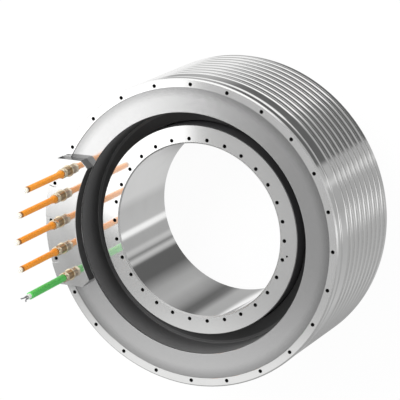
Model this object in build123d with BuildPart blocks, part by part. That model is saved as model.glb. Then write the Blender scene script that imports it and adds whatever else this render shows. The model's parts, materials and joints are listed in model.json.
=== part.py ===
from build123d import *
import math
import os

# Frameless torque motor. The motor's axis is Z, and Z = 0 is the back face of the stator.
# The cables leave the front, towards +Z, and +X runs through the middle of the cable block.
# Lengths are in millimetres and angles in degrees.

# Stator jacket, from the front face back
jacket_length = 192.0
flange_radius = 230.0
flange_chamfer = 2.0
flange_thickness = 11.3
rim_width = 12.9
relief_width = 8.0
relief_depth = 3.5
land_step = 0.5
land_width = 19.5
rear_land_least = 6.0
groove_width = 10.0
groove_depth = 5.0
groove_pitch = 16.85
end_ring_seat = 12.1

# Screw circle of the stator
stator_bolt_edge = 8.0
stator_bolt_count = 24
tap_radius = 2.5
stator_tap_depth = 9.0

# Front end ring
end_ring_width = 36.8
end_ring_recess = 1.3
end_ring_thickness = 4.0

# Potting
potting_draft = 1.3
potting_ledge = 4.0
potting_gap = 1.4
rear_potting_recess = 2.0

# Laminated core and its windings
tooth_count = 24
tooth_width = 22.0
core_depth = 47.0
yoke_thickness = 13.0
stack_rear = 32.0
stack_setback = 64.0
end_turn = 8.0
coil_clearance = 0.85
wedge_thickness = 3.0
wedge_setback = 1.0

# Rotor
air_gap = 0.8
rotor_wall = 27.6
rotor_rear = 14.4
rotor_setback = 25.0
rotor_lip = 2.5
rotor_chamfer = 1.0
bore_chamfer = 2.0
rotor_bolt_edge = 7.15
rotor_bolt_count = 30
rotor_tap_depth = 16.0

# Magnets and the bandage over them
pole_count = 28
magnet_thickness = 9.0
magnet_spacing = 3.0
magnet_overhang = 2.0
bandage_thickness = 1.2

# Cable block
block_height = 16.8
block_end = 17.0
block_corner = 11.0
spot_face_radius = 5.8
spot_face_depth = 1.8
side_hole_radius = 2.5
side_hole_depth = 10.0
side_hole_edge = 25.0
side_hole_drop = 5.9

# Cables
cable_edge = 23.5
cable_step_angle = 11.25
gland_radius = 8.4
gland_length = 21.4
sleeve_radius = 5.9
sleeve_length = 9.1
power_cable_diameter = 9.3
power_cable_length = 91.0
core_diameter = 7.8
core_length = 9.5
sensor_cable_diameter = 10.9
sensor_cable_length = 100.0
sensor_sheath_diameter = 7.4
sensor_sheath_length = 8.0
lead_radius = 0.9
lead_length = 13.0
lead_circle_radius = 2.2
lead_splay = 12.0

# Radii that follow, from the outside in
land_radius = flange_radius - land_step
stator_bolt_radius = flange_radius - stator_bolt_edge
end_ring_radius = flange_radius - rim_width
jacket_bore_radius = end_ring_radius - end_ring_seat
opening_radius = end_ring_radius - end_ring_width
potting_foot_radius = opening_radius - potting_draft
slot_bottom_radius = jacket_bore_radius - yoke_thickness
core_bore_radius = jacket_bore_radius - core_depth
wedge_front_radius = core_bore_radius + wedge_setback
coil_radius = wedge_front_radius + wedge_thickness
rotor_radius = core_bore_radius - air_gap
potting_lip_radius = rotor_radius + potting_gap
rotor_bore_radius = rotor_radius - rotor_wall
rotor_bolt_radius = rotor_bore_radius + rotor_bolt_edge
cable_circle_radius = flange_radius - cable_edge

# Levels that follow, from the front face back
end_ring_face = jacket_length - end_ring_recess
end_ring_back = end_ring_face - end_ring_thickness
rotor_front = jacket_length - rotor_setback
lip_back = rotor_front - rotor_lip
stack_front = jacket_length - stack_setback
front_potting_back = stack_front + end_turn
front_potting_ledge = front_potting_back + potting_ledge
rear_potting_front = stack_rear - end_turn
relief_front = jacket_length - flange_thickness
relief_back = relief_front - relief_width
first_groove = relief_back - land_width
groove_count = 1 + int((first_groove - groove_width - rear_land_least) / groove_pitch)

# Levels that follow, from the front face to the cable ends
block_top = jacket_length + block_height
gland_top = block_top + gland_length
sleeve_top = gland_top + sleeve_length
sensor_end = gland_top + sensor_cable_length
sheath_end = sensor_end + sensor_sheath_length

# Sizes of the coils and magnets that follow from the room that each one has
tooth_half_pitch = math.radians(180 / tooth_count)
pole_half_pitch = math.radians(180 / pole_count)
coil_half_width = coil_radius * math.tan(tooth_half_pitch) - coil_clearance
coil_height = math.sqrt(slot_bottom_radius**2 - coil_half_width**2) - coil_clearance - coil_radius
magnet_face = (rotor_radius - bandage_thickness) * math.cos(pole_half_pitch)
magnet_seat = magnet_face - magnet_thickness
magnet_width = 2 * magnet_seat * math.tan(pole_half_pitch) - magnet_spacing
magnet_rear = stack_rear - magnet_overhang
magnet_front = stack_front + magnet_overhang


def radial_plane(angle, radius):
    """A plane square to a radius of the motor: its x runs round the motor and its y along the axis."""
    outward = Vector(1, 0, 0).rotate(Axis.Z, angle)
    around = Vector(0, 1, 0).rotate(Axis.Z, angle)
    return Plane(origin=outward * radius, x_dir=around, z_dir=outward)


def on_circle(radius, angle):
    """A point in the XY plane, given by its radius and its angle."""
    turn = math.radians(angle)
    return (radius * math.cos(turn), radius * math.sin(turn))


def write(part, name):
    """Label a finished piece and write its STEP file."""
    part.part.label = name
    export_step(part.part, f"parts/{name}.step")


def jacket_outside():
    """The jacket's outer profile from the flange's face to the back face, as (radius, height) points."""
    points = [
        (flange_radius - flange_chamfer, jacket_length),
        (flange_radius, jacket_length - flange_chamfer),
        (flange_radius, relief_front),
        (land_radius - relief_depth, relief_front - relief_width / 2),
        (land_radius, relief_back),
    ]
    for index in range(groove_count):
        top = first_groove - index * groove_pitch
        points.append((land_radius, top))
        points.append((land_radius - groove_depth, top - groove_width / 2))
        points.append((land_radius, top - groove_width))
    points.append((land_radius, 0))
    return points


def phase_winding(first_tooth):
    """The coils of one phase: one rectangular coil round every third tooth."""
    with BuildPart() as winding:
        for tooth in range(first_tooth, tooth_count, 3):
            with BuildSketch(radial_plane(tooth * 360 / tooth_count, coil_radius)):
                with Locations((0, (stack_rear + stack_front) / 2)):
                    Rectangle(2 * coil_half_width, stack_front - stack_rear + 2 * end_turn)
                    Rectangle(tooth_width, stack_front - stack_rear, mode=Mode.SUBTRACT)
            extrude(amount=coil_height)
    return winding


def magnet_set(first_pole):
    """Every second magnet, each a flat block on its own flat of the rotor carrier."""
    with BuildPart() as magnets:
        for pole in range(first_pole, pole_count, 2):
            with BuildSketch(radial_plane(pole * 360 / pole_count, magnet_seat)):
                with Locations((0, (magnet_rear + magnet_front) / 2)):
                    Rectangle(magnet_width, magnet_front - magnet_rear)
            extrude(amount=magnet_thickness)
    return magnets


def spacer_ring(rear, front):
    """A ring beside the magnets, as high as they are, between two levels."""
    with BuildPart() as spacer:
        with BuildSketch(Plane.XY.offset(rear)):
            magnet_polygon(magnet_face)
            magnet_polygon(magnet_seat, Mode.SUBTRACT)
        extrude(amount=front - rear)
    return spacer


def magnet_polygon(apothem, mode=Mode.ADD):
    """A polygon with one flat for each magnet, the first flat's middle on +X."""
    RegularPolygon(apothem, pole_count, major_radius=False, rotation=180 / pole_count, mode=mode)


os.makedirs("parts", exist_ok=True)

# Jacket: a turned sleeve with the screw flange, a relief, the seal land and the coolant grooves.
with BuildPart() as jacket:
    with BuildSketch(Plane.XZ):
        with BuildLine():
            Polyline(
                *jacket_outside(),
                (jacket_bore_radius, 0),
                (jacket_bore_radius, end_ring_back),
                (end_ring_radius, end_ring_back),
                (end_ring_radius, jacket_length),
                close=True,
            )
        make_face()
    revolve(axis=Axis.Z)
    with Locations(Plane.XY.offset(jacket_length)):
        with PolarLocations(stator_bolt_radius, stator_bolt_count):
            Hole(tap_radius, stator_tap_depth)
write(jacket, "jacket")

# Front end ring: a flat satin ring let into the flange.
with BuildPart() as front_end_ring:
    with BuildSketch(Plane.XY.offset(end_ring_back)):
        Circle(end_ring_radius)
        Circle(opening_radius, mode=Mode.SUBTRACT)
    extrude(amount=end_ring_thickness)
write(front_end_ring, "front_end_ring")

# Front potting: a tall wall under the end ring and a ledge over the end turns.
with BuildPart() as front_potting:
    with BuildSketch(Plane.XZ):
        with BuildLine():
            Polyline(
                (jacket_bore_radius, front_potting_back),
                (jacket_bore_radius, end_ring_back),
                (opening_radius, end_ring_back),
                (potting_foot_radius, front_potting_ledge),
                (potting_lip_radius, front_potting_ledge),
                (potting_lip_radius, front_potting_back),
                close=True,
            )
        make_face()
    revolve(axis=Axis.Z)
write(front_potting, "front_potting")

# Rear potting: a plain ring over the rear end turns.
with BuildPart() as rear_potting:
    with BuildSketch(Plane.XY.offset(rear_potting_recess)):
        Circle(jacket_bore_radius)
        Circle(potting_lip_radius, mode=Mode.SUBTRACT)
    extrude(amount=rear_potting_front - rear_potting_recess)
write(rear_potting, "rear_potting")

# Laminated core: a yoke with parallel-sided teeth, ground round at the air gap.
with BuildPart() as stator_core:
    with BuildSketch(Plane.XY.offset(stack_rear)):
        Circle(jacket_bore_radius)
        Circle(slot_bottom_radius, mode=Mode.SUBTRACT)
        with PolarLocations((core_bore_radius + slot_bottom_radius) / 2, tooth_count):
            Rectangle(slot_bottom_radius - core_bore_radius + yoke_thickness, tooth_width)
        Circle(core_bore_radius, mode=Mode.SUBTRACT)
    extrude(amount=stack_front - stack_rear)
write(stator_core, "stator_core")

# Windings: one coil round each tooth, in three phases.
for phase, phase_name in enumerate(["winding_u", "winding_v", "winding_w"]):
    write(phase_winding(phase), phase_name)

# Slot wedges: wedge-shaped strips between the teeth, in front of the coils.
with BuildPart() as slot_wedges:
    tooth_side = tooth_width / 2 / math.cos(tooth_half_pitch)
    inner_half = wedge_front_radius * math.tan(tooth_half_pitch) - tooth_side
    outer_half = coil_radius * math.tan(tooth_half_pitch) - tooth_side
    with BuildSketch(Plane.XY.offset(stack_rear)):
        with PolarLocations(0, tooth_count, start_angle=180 / tooth_count):
            Polygon(
                (wedge_front_radius, -inner_half),
                (coil_radius, -outer_half),
                (coil_radius, outer_half),
                (wedge_front_radius, inner_half),
                align=None,
            )
    extrude(amount=stack_front - stack_rear)
write(slot_wedges, "slot_wedges")

# Rotor carrier: a ring with one flat for each magnet, a thin front lip and the screw circle.
with BuildPart() as rotor_carrier:
    with BuildSketch(Plane.XY.offset(rotor_rear)):
        magnet_polygon(magnet_seat)
    extrude(amount=rotor_front - rotor_rear)
    with BuildSketch(Plane.XY.offset(lip_back)):
        Circle(rotor_radius)
    extrude(amount=rotor_lip)
    chamfer(edges().filter_by(GeomType.CIRCLE).sort_by(Axis.Z)[-1], rotor_chamfer)
    with BuildSketch(Plane.XY.offset(rotor_rear)):
        Circle(rotor_bore_radius)
    extrude(amount=rotor_front - rotor_rear, mode=Mode.SUBTRACT)
    front_edges = faces().sort_by(Axis.Z)[-1].edges()
    chamfer(front_edges.sort_by(SortBy.RADIUS)[0], bore_chamfer)
    with Locations(Plane.XY.offset(rotor_front)):
        with PolarLocations(rotor_bolt_radius, rotor_bolt_count):
            Hole(tap_radius, rotor_tap_depth)
write(rotor_carrier, "rotor_carrier")

# Magnets, spacer rings beside them and the bandage wound over both.
write(magnet_set(0), "magnets_north")
write(magnet_set(1), "magnets_south")
write(spacer_ring(rotor_rear, magnet_rear), "rear_spacer")
write(spacer_ring(magnet_front, lip_back), "front_spacer")
with BuildPart() as bandage:
    with BuildSketch(Plane.XY.offset(rotor_rear)):
        Circle(rotor_radius)
        magnet_polygon(magnet_face, Mode.SUBTRACT)
    extrude(amount=lip_back - rotor_rear)
write(bandage, "bandage")

# Cable block: it stands on the flange and the end ring, and follows both edges of the stator.
with BuildPart() as cable_block:
    last_cable_y = on_circle(cable_circle_radius, 2 * cable_step_angle)[1]
    block_half_width = last_cable_y + block_end
    corner_y = block_half_width - block_corner
    corner_x = math.sqrt(opening_radius**2 - corner_y**2)
    with BuildSketch(Plane.XY.offset(end_ring_face)):
        with BuildLine():
            Polyline(
                (corner_x, -corner_y),
                (corner_x + block_corner, -block_half_width),
                (flange_radius, -block_half_width),
                (flange_radius, block_half_width),
                (corner_x + block_corner, block_half_width),
                (corner_x, corner_y),
                close=True,
            )
        make_face()
        Circle(flange_radius, mode=Mode.INTERSECT)
        Circle(opening_radius, mode=Mode.SUBTRACT)
    extrude(amount=block_top - end_ring_face)
    with BuildSketch(Plane.XY.offset(end_ring_face)):
        Circle(flange_radius)
        Circle(end_ring_radius, mode=Mode.SUBTRACT)
    extrude(amount=end_ring_recess, mode=Mode.SUBTRACT)
    hole_angle = 360 / stator_bolt_count
    spot_face_length = flange_radius - stator_bolt_radius
    for angle in (-hole_angle, 0, hole_angle):
        with BuildSketch(Plane.XY.offset(block_top)):
            with Locations(on_circle(stator_bolt_radius, angle)):
                Circle(spot_face_radius)
            with Locations(Location((0, 0), angle)):
                with Locations((stator_bolt_radius + spot_face_length, 0)):
                    Rectangle(2 * spot_face_length, 2 * spot_face_radius)
        extrude(amount=-spot_face_depth, mode=Mode.SUBTRACT)
        with Locations(Plane.XY.offset(block_top)):
            with Locations(on_circle(stator_bolt_radius, angle)):
                Hole(tap_radius, block_height)
    side_plane = Plane(
        origin=(flange_radius - side_hole_edge, -block_half_width, block_top - side_hole_drop),
        z_dir=(0, -1, 0),
    )
    with Locations(side_plane):
        Hole(side_hole_radius, side_hole_depth)
write(cable_block, "cable_block")

# Cable glands: five, in a row on the block.
cable_places = [on_circle(cable_circle_radius, step * cable_step_angle) for step in range(-2, 3)]
power_places = cable_places[:-1]
sensor_place = cable_places[-1]
with BuildPart() as cable_glands:
    with BuildSketch(Plane.XY.offset(block_top)):
        with Locations(*cable_places):
            Circle(gland_radius)
    extrude(amount=gland_length)
write(cable_glands, "cable_glands")

# Sleeves: short rubber bulbs where the power cables leave their glands.
with BuildPart() as cable_sleeves:
    with BuildSketch(Plane.XY.offset(gland_top)):
        with Locations(*power_places):
            Circle(sleeve_radius)
    extrude(amount=sleeve_length)
write(cable_sleeves, "cable_sleeves")

# Power cables: straight and cut short, each with its bare core at the end.
for number, place in enumerate(power_places, start=1):
    with BuildPart() as power_cable:
        with BuildSketch(Plane.XY.offset(sleeve_top)):
            with Locations(place):
                Circle(power_cable_diameter / 2)
        extrude(amount=power_cable_length)
    write(power_cable, f"power_cable_{number}")
with BuildPart() as power_cores:
    with BuildSketch(Plane.XY.offset(sleeve_top + power_cable_length)):
        with Locations(*power_places):
            Circle(core_diameter / 2)
    extrude(amount=core_length)
write(power_cores, "power_cores")

# Sensor cable: its jacket, the inner sheath and three leads that spread a little.
with BuildPart() as sensor_cable:
    with BuildSketch(Plane.XY.offset(gland_top)):
        with Locations(sensor_place):
            Circle(sensor_cable_diameter / 2)
    extrude(amount=sensor_cable_length)
write(sensor_cable, "sensor_cable")
with BuildPart() as sensor_sheath:
    with BuildSketch(Plane.XY.offset(sensor_end)):
        with Locations(sensor_place):
            Circle(sensor_sheath_diameter / 2)
    extrude(amount=sensor_sheath_length)
write(sensor_sheath, "sensor_sheath")
with BuildPart() as sensor_leads:
    for turn in range(0, 360, 120):
        outward = Vector(1, 0, 0).rotate(Axis.Z, turn)
        foot = Vector(*sensor_place, sheath_end) + outward * lead_circle_radius
        lead_direction = Vector(0, 0, 1) + outward * math.tan(math.radians(lead_splay))
        with BuildSketch(Plane.XY.offset(sheath_end)):
            with Locations((foot.X, foot.Y)):
                RegularPolygon(lead_radius, 6)
        extrude(amount=lead_length, dir=lead_direction)
write(sensor_leads, "sensor_leads")
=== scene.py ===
import json
import math
from contextlib import contextmanager

import bmesh
import bpy
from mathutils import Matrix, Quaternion, Vector
from mathutils.geometry import tessellate_polygon


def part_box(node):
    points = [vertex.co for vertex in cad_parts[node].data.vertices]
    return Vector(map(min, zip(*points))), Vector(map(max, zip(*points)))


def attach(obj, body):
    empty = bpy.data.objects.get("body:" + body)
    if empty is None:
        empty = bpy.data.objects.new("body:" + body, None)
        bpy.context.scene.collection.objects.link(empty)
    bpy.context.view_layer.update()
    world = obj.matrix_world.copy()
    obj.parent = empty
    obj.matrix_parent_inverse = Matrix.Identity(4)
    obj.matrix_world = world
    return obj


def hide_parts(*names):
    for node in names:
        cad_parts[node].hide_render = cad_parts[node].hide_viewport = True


bl_info = {
    "name": "Frameless torque motor",
    "version": (1, 0, 0),
    "blender": (4, 5, 0),
    "location": "3D view > Sidebar > Motor",
    "description": "Dresses the packed model of a frameless torque motor and sets it in a studio",
    "category": "Object",
}

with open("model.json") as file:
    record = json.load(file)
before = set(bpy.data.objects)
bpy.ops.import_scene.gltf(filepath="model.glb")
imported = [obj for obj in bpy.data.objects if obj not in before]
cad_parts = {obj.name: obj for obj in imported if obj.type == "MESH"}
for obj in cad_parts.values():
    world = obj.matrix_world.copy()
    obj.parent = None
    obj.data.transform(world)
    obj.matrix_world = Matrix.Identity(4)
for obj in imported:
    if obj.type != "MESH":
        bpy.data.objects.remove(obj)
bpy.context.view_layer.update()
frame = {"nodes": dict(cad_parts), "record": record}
MOUNTS = {mount["name"]: mount for mount in frame["record"]["mounts"]}
SEAL_LAND = MOUNTS["seal_land"]
STATOR_HOLES = MOUNTS["stator_screws"]["dims"]
ROTOR_HOLES = MOUNTS["rotor_screws"]["dims"]

FLANGE_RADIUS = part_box("jacket")[1].x
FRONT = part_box("jacket")[1].z
LAND_RADIUS = SEAL_LAND["dims"]["r_mm"] / 1000
LAND_WIDTH = SEAL_LAND["dims"]["length_mm"] / 1000
LAND_REAR = SEAL_LAND["pos_m"][2] - LAND_WIDTH / 2
STATOR_CIRCLE = STATOR_HOLES["pcd_mm"] / 2000
STATOR_SCREWS = STATOR_HOLES["count"]
TAP_RADIUS = STATOR_HOLES["hole_r_mm"] / 1000
ROTOR_CIRCLE = ROTOR_HOLES["pcd_mm"] / 2000
ROTOR_SCREWS = ROTOR_HOLES["count"]
BORE_RADIUS = MOUNTS["rotor_bore"]["dims"]["r_mm"] / 1000
RING_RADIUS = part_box("front_end_ring")[1].x
RING_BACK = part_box("front_end_ring")[0].z
RING_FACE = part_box("front_end_ring")[1].z
POTTING_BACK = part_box("front_potting")[0].z
POTTING_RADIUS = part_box("front_potting")[1].x
ROTOR_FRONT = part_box("rotor_carrier")[1].z
ROTOR_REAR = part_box("rotor_carrier")[0].z
ROTOR_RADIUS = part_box("rotor_carrier")[1].x
LIP_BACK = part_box("bandage")[1].z
BLOCK_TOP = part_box("cable_block")[1].z
BLOCK_HALF_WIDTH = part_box("cable_block")[1].y
GLAND_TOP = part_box("cable_glands")[1].z
SLEEVE_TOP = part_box("cable_sleeves")[1].z
POWER_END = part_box("power_cable_1")[1].z
CORE_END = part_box("power_cores")[1].z
SENSOR_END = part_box("sensor_cable")[1].z
SHEATH_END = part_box("sensor_sheath")[1].z
LEADS_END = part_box("sensor_leads")[1].z

# The cables are numbered from the middle one, which is 0.
POWER_CABLES = range(-2, 2)
SENSOR_CABLE = 2

# Steps round the small turned pieces.
GLAND_STEPS = 48
SLEEVE_STEPS = 40
CORE_STEPS = 36
HOLE_STEPS = 24
PIN_STEPS = 16
STRAND_STEPS = 10

# The motor's axis as seen from above.
AXIS = (0.0, 0.0)

# Distances that count as none, and the angle from which an edge is sharp.
NEAR = 1e-6
MERGE_DISTANCE = 1e-7
SAME_POINT = 1e-9
SHARP_ANGLE = math.radians(32)


def length(name, description, default):
    """A length that can be changed."""
    return bpy.props.FloatProperty(
        name=name, description=description, default=default, subtype="DISTANCE", unit="LENGTH")


def angle(name, description, degrees):
    """An angle that can be changed."""
    return bpy.props.FloatProperty(
        name=name, description=description, default=math.radians(degrees), subtype="ANGLE", unit="ROTATION")


def whole(name, description, default):
    """A whole number that can be changed."""
    return bpy.props.IntProperty(name=name, description=description, default=default)


def tint(name, description, *default):
    """A colour that can be changed."""
    return bpy.props.FloatVectorProperty(
        name=name, description=description, default=default, subtype="COLOR")


class JacketSizes(bpy.types.PropertyGroup):
    """Sizes of the jacket's turned outside"""

    around: whole("Steps around", "Steps in each turned circle", 288)
    flange_thickness: length("Flange thickness", "From the front face to the relief", 0.0113)
    flange_chamfer: length("Flange chamfer", "At the front face", 0.002)
    relief_depth: length("Relief depth", "Of the relief behind the flange", 0.0035)
    groove_width: length("Groove width", "Of each coolant groove, twice its depth", 0.010)
    groove_pitch: length("Groove pitch", "From one coolant groove to the next", 0.01685)
    groove_count: whole("Grooves", "Coolant grooves", 9)
    edge: length("Edge rounding", "At the edges of the grooves and behind the flange", 0.0004)
    countersink: length("Countersink", "At the mouth of each tapped hole", 0.0004)
    tap_depth: length("Tapped depth", "Of the holes in the flange", 0.009)


class PottingSizes(bpy.types.PropertyGroup):
    """Sizes of the black resin"""

    opening: length("Opening radius", "Inside the front end ring", 0.1803)
    draft: length("Draft", "How far the wall leans in at its foot", 0.0013)
    ledge: length("Ledge height", "Of the ledge over the end turns", 0.004)
    gap: length("Gap", "From the rotor to the resin", 0.0014)
    fillet: length("Fillet", "At the foot of the wall", 0.0015)


class RotorSizes(bpy.types.PropertyGroup):
    """Sizes of the rotor carrier"""

    around: whole("Steps around", "Steps in each turned circle", 420)
    poles: whole("Poles", "Magnets round the rotor", 28)
    seat: length("Seat height", "From the axis to the flats that carry the magnets", 0.14603)
    rim_chamfer: length("Rim chamfer", "At the outer edge of the front face", 0.001)
    bore_chamfer: length("Bore chamfer", "At the front of the bore", 0.002)
    tap_depth: length("Tapped depth", "Of the holes in the front face", 0.016)
    pin_circle: length("Pin circle", "Radius at which the locating pin stands", 0.1427)
    pin_angle: angle("Pin angle", "Where the locating pin stands", 170.9)
    pin_radius: length("Pin radius", "Of the locating pin's hole", 0.0014)
    pin_depth: length("Pin depth", "Of the locating pin's hole", 0.004)


class BlockSizes(bpy.types.PropertyGroup):
    """Sizes of the cable block"""

    corner: length("Corner", "Size of the cut inner corners", 0.011)
    edge: length("Edge chamfer", "Round the polished face", 0.0004)
    spot_radius: length("Spot face radius", "Of the seats of the three screws", 0.0058)
    spot_depth: length("Spot face depth", "Of the seats of the three screws", 0.0018)
    side_edge: length("Side hole setback", "From the flange's edge to the earth screw", 0.025)
    side_drop: length("Side hole drop", "From the polished face to the earth screw", 0.0059)
    side_depth: length("Side hole depth", "Of the earth screw's hole", 0.010)


class GlandSizes(bpy.types.PropertyGroup):
    """Sizes of the cable glands; the radii are from each gland's own axis"""

    throat: length("Throat", "Radius inside a power cable's gland", 0.0050)
    collar: length("Collar", "Radius of the collar at the foot", 0.0089)
    collar_height: length("Collar height", "Of the collar at the foot", 0.0016)
    barrel: length("Barrel", "Radius of the barrel", 0.0070)
    barrel_height: length("Barrel height", "From the block to the top of the barrel", 0.0136)
    groove: length("Groove", "Radius at the bottom of the barrel's grooves", 0.0064)
    nut: length("Nut", "From the axis to the nut's flats", 0.00727)


class CableSizes(bpy.types.PropertyGroup):
    """Places and sizes of the cables"""

    circle: length("Cable circle", "Radius at which the cables stand", 0.2065)
    step: angle("Step", "Angle from one cable to the next", 11.25)
    power_diameter: length("Power cable", "Diameter", 0.0093)
    core_diameter: length("Power core", "Diameter", 0.0078)
    core_wall: length("Core wall", "Thickness of the core's insulation", 0.0011)
    strand_length: length("Strand length", "From the end of the insulation's side to the cut", 0.0016)
    strand_radius: length("Strand radius", "Of each strand of wire", 0.00048)
    sensor_diameter: length("Sensor cable", "Diameter", 0.0109)
    sheath_diameter: length("Sensor sheath", "Diameter", 0.0074)
    lead_radius: length("Lead radius", "Of the three thin leads", 0.0010)
    sleeve_radius: length("Sleeve radius", "Of the moulded sleeves at their foot", 0.0053)


class FinishColours(bpy.types.PropertyGroup):
    """Colours of the finishes"""

    aluminium: tint("Aluminium", "Turned jacket and block", 0.86, 0.86, 0.855)
    satin: tint("Satin ring", "Front end ring", 0.71, 0.71, 0.71)
    steel: tint("Rotor steel", "Rotor carrier", 0.90, 0.90, 0.895)
    side: tint("Rotor side", "Dark outside of the rotor carrier", 0.10, 0.10, 0.102)
    resin: tint("Resin", "Black potting", 0.13, 0.13, 0.131)
    inside: tint("Blackened inside", "Inner wall of the block", 0.03, 0.03, 0.03)
    nickel: tint("Nickel", "Cable glands", 0.88, 0.76, 0.56)
    brass: tint("Brass", "Barrels of the cable glands", 0.42, 0.30, 0.18)
    # Painted shade: the near-black thread colour stands for the shade inside the tapped holes.
    thread: tint("Thread", "Oily threads of the tapped holes", 0.012, 0.012, 0.012)
    orange: tint("Orange", "Power cables", 0.98, 0.345, 0.015)
    green: tint("Green", "Sensor cable", 0.085, 0.56, 0.10)
    cream: tint("Cream", "Insulation of the cores", 0.90, 0.84, 0.70)
    # Painted shade in part: the tape layer's brown also stands for the shade on each jacket's cut end.
    tape_and_shade: tint("Tape", "Layer between a cable's skin and its core", 0.32, 0.13, 0.03)
    tin: tint("Tin", "Strands of wire", 0.93, 0.93, 0.92)
    sheath: tint("Sheath", "Inner sheath of the sensor cable", 0.78, 0.80, 0.77)
    lead: tint("Lead", "Insulation of the thin leads", 0.22, 0.22, 0.225)
    sheets: tint("Sheets", "Edges of the core's steel sheets", 0.35, 0.35, 0.36)
    copper: tint("Copper", "Enamelled wire of the windings", 0.72, 0.30, 0.12)
    wedge: tint("Wedges", "Slot wedges", 0.66, 0.60, 0.38)
    magnet: tint("Magnets", "Plating of the magnets", 0.50, 0.50, 0.51)
    spacer: tint("Spacers", "Rings beside the magnets", 0.07, 0.07, 0.075)
    bandage: tint("Bandage", "Wrap round the magnets", 0.10, 0.10, 0.105)


class StudioSettings(bpy.types.PropertyGroup):
    """Light and camera"""

    fill: bpy.props.FloatProperty(name="Fill", description="Even light from all round", default=0.96)
    lamp: bpy.props.FloatProperty(
        name="Lamp", description="Power of the soft lamp", default=72.0, subtype="POWER", unit="POWER")
    lamp_size: length("Lamp size", "Diameter of the soft lamp", 1.6)
    lamp_place: bpy.props.FloatVectorProperty(
        name="Lamp place", description="Where the soft lamp hangs", default=(1.3, -1.5, 2.6),
        subtype="TRANSLATION", unit="LENGTH")
    focal_length: bpy.props.FloatProperty(
        name="Focal length", description="In millimetres, on a 36 mm sensor", default=221.206)
    camera_place: bpy.props.FloatVectorProperty(
        name="Camera place", description="Where the camera stands", default=(-1.48532, -0.94510, 3.28421),
        subtype="TRANSLATION", unit="LENGTH")
    camera_turn: bpy.props.FloatVectorProperty(
        name="Camera turn", description="How the camera is turned, as a quaternion", size=4,
        default=(-0.0268831, -0.21819355, -0.12416111, 0.96760162), subtype="QUATERNION")


SETTINGS = {
    "motor_jacket": JacketSizes,
    "motor_potting": PottingSizes,
    "motor_rotor": RotorSizes,
    "motor_block": BlockSizes,
    "motor_glands": GlandSizes,
    "motor_cables": CableSizes,
    "motor_colours": FinishColours,
    "motor_studio": StudioSettings,
}


class Value:
    """A number or colour that a node gives, and the sums that can be made with a number."""

    def __init__(self, finish, socket):
        self.finish = finish
        self.socket = socket

    def sum(self, operation, *terms):
        """A math node with its operation and terms."""
        return self.finish.node("ShaderNodeMath", {"operation": operation}, dict(enumerate(terms)))

    def __add__(self, other):
        return self.sum("ADD", self, other)

    __radd__ = __add__

    def __sub__(self, other):
        return self.sum("SUBTRACT", self, other)

    def __rsub__(self, other):
        return self.sum("SUBTRACT", other, self)

    def __mul__(self, other):
        return self.sum("MULTIPLY", self, other)

    def __truediv__(self, other):
        return self.sum("DIVIDE", self, other)

    def __pow__(self, other):
        return self.sum("POWER", self, other)

    def sine(self):
        return self.sum("SINE", self)

    def fraction(self):
        return self.sum("FRACT", self)

    def at_least(self, low):
        return self.sum("MAXIMUM", self, low)

    def rise_over(self, across):
        """The angle in radians of a slope that rises this much over a distance across."""
        return self.sum("ARCTAN2", self, across)


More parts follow.
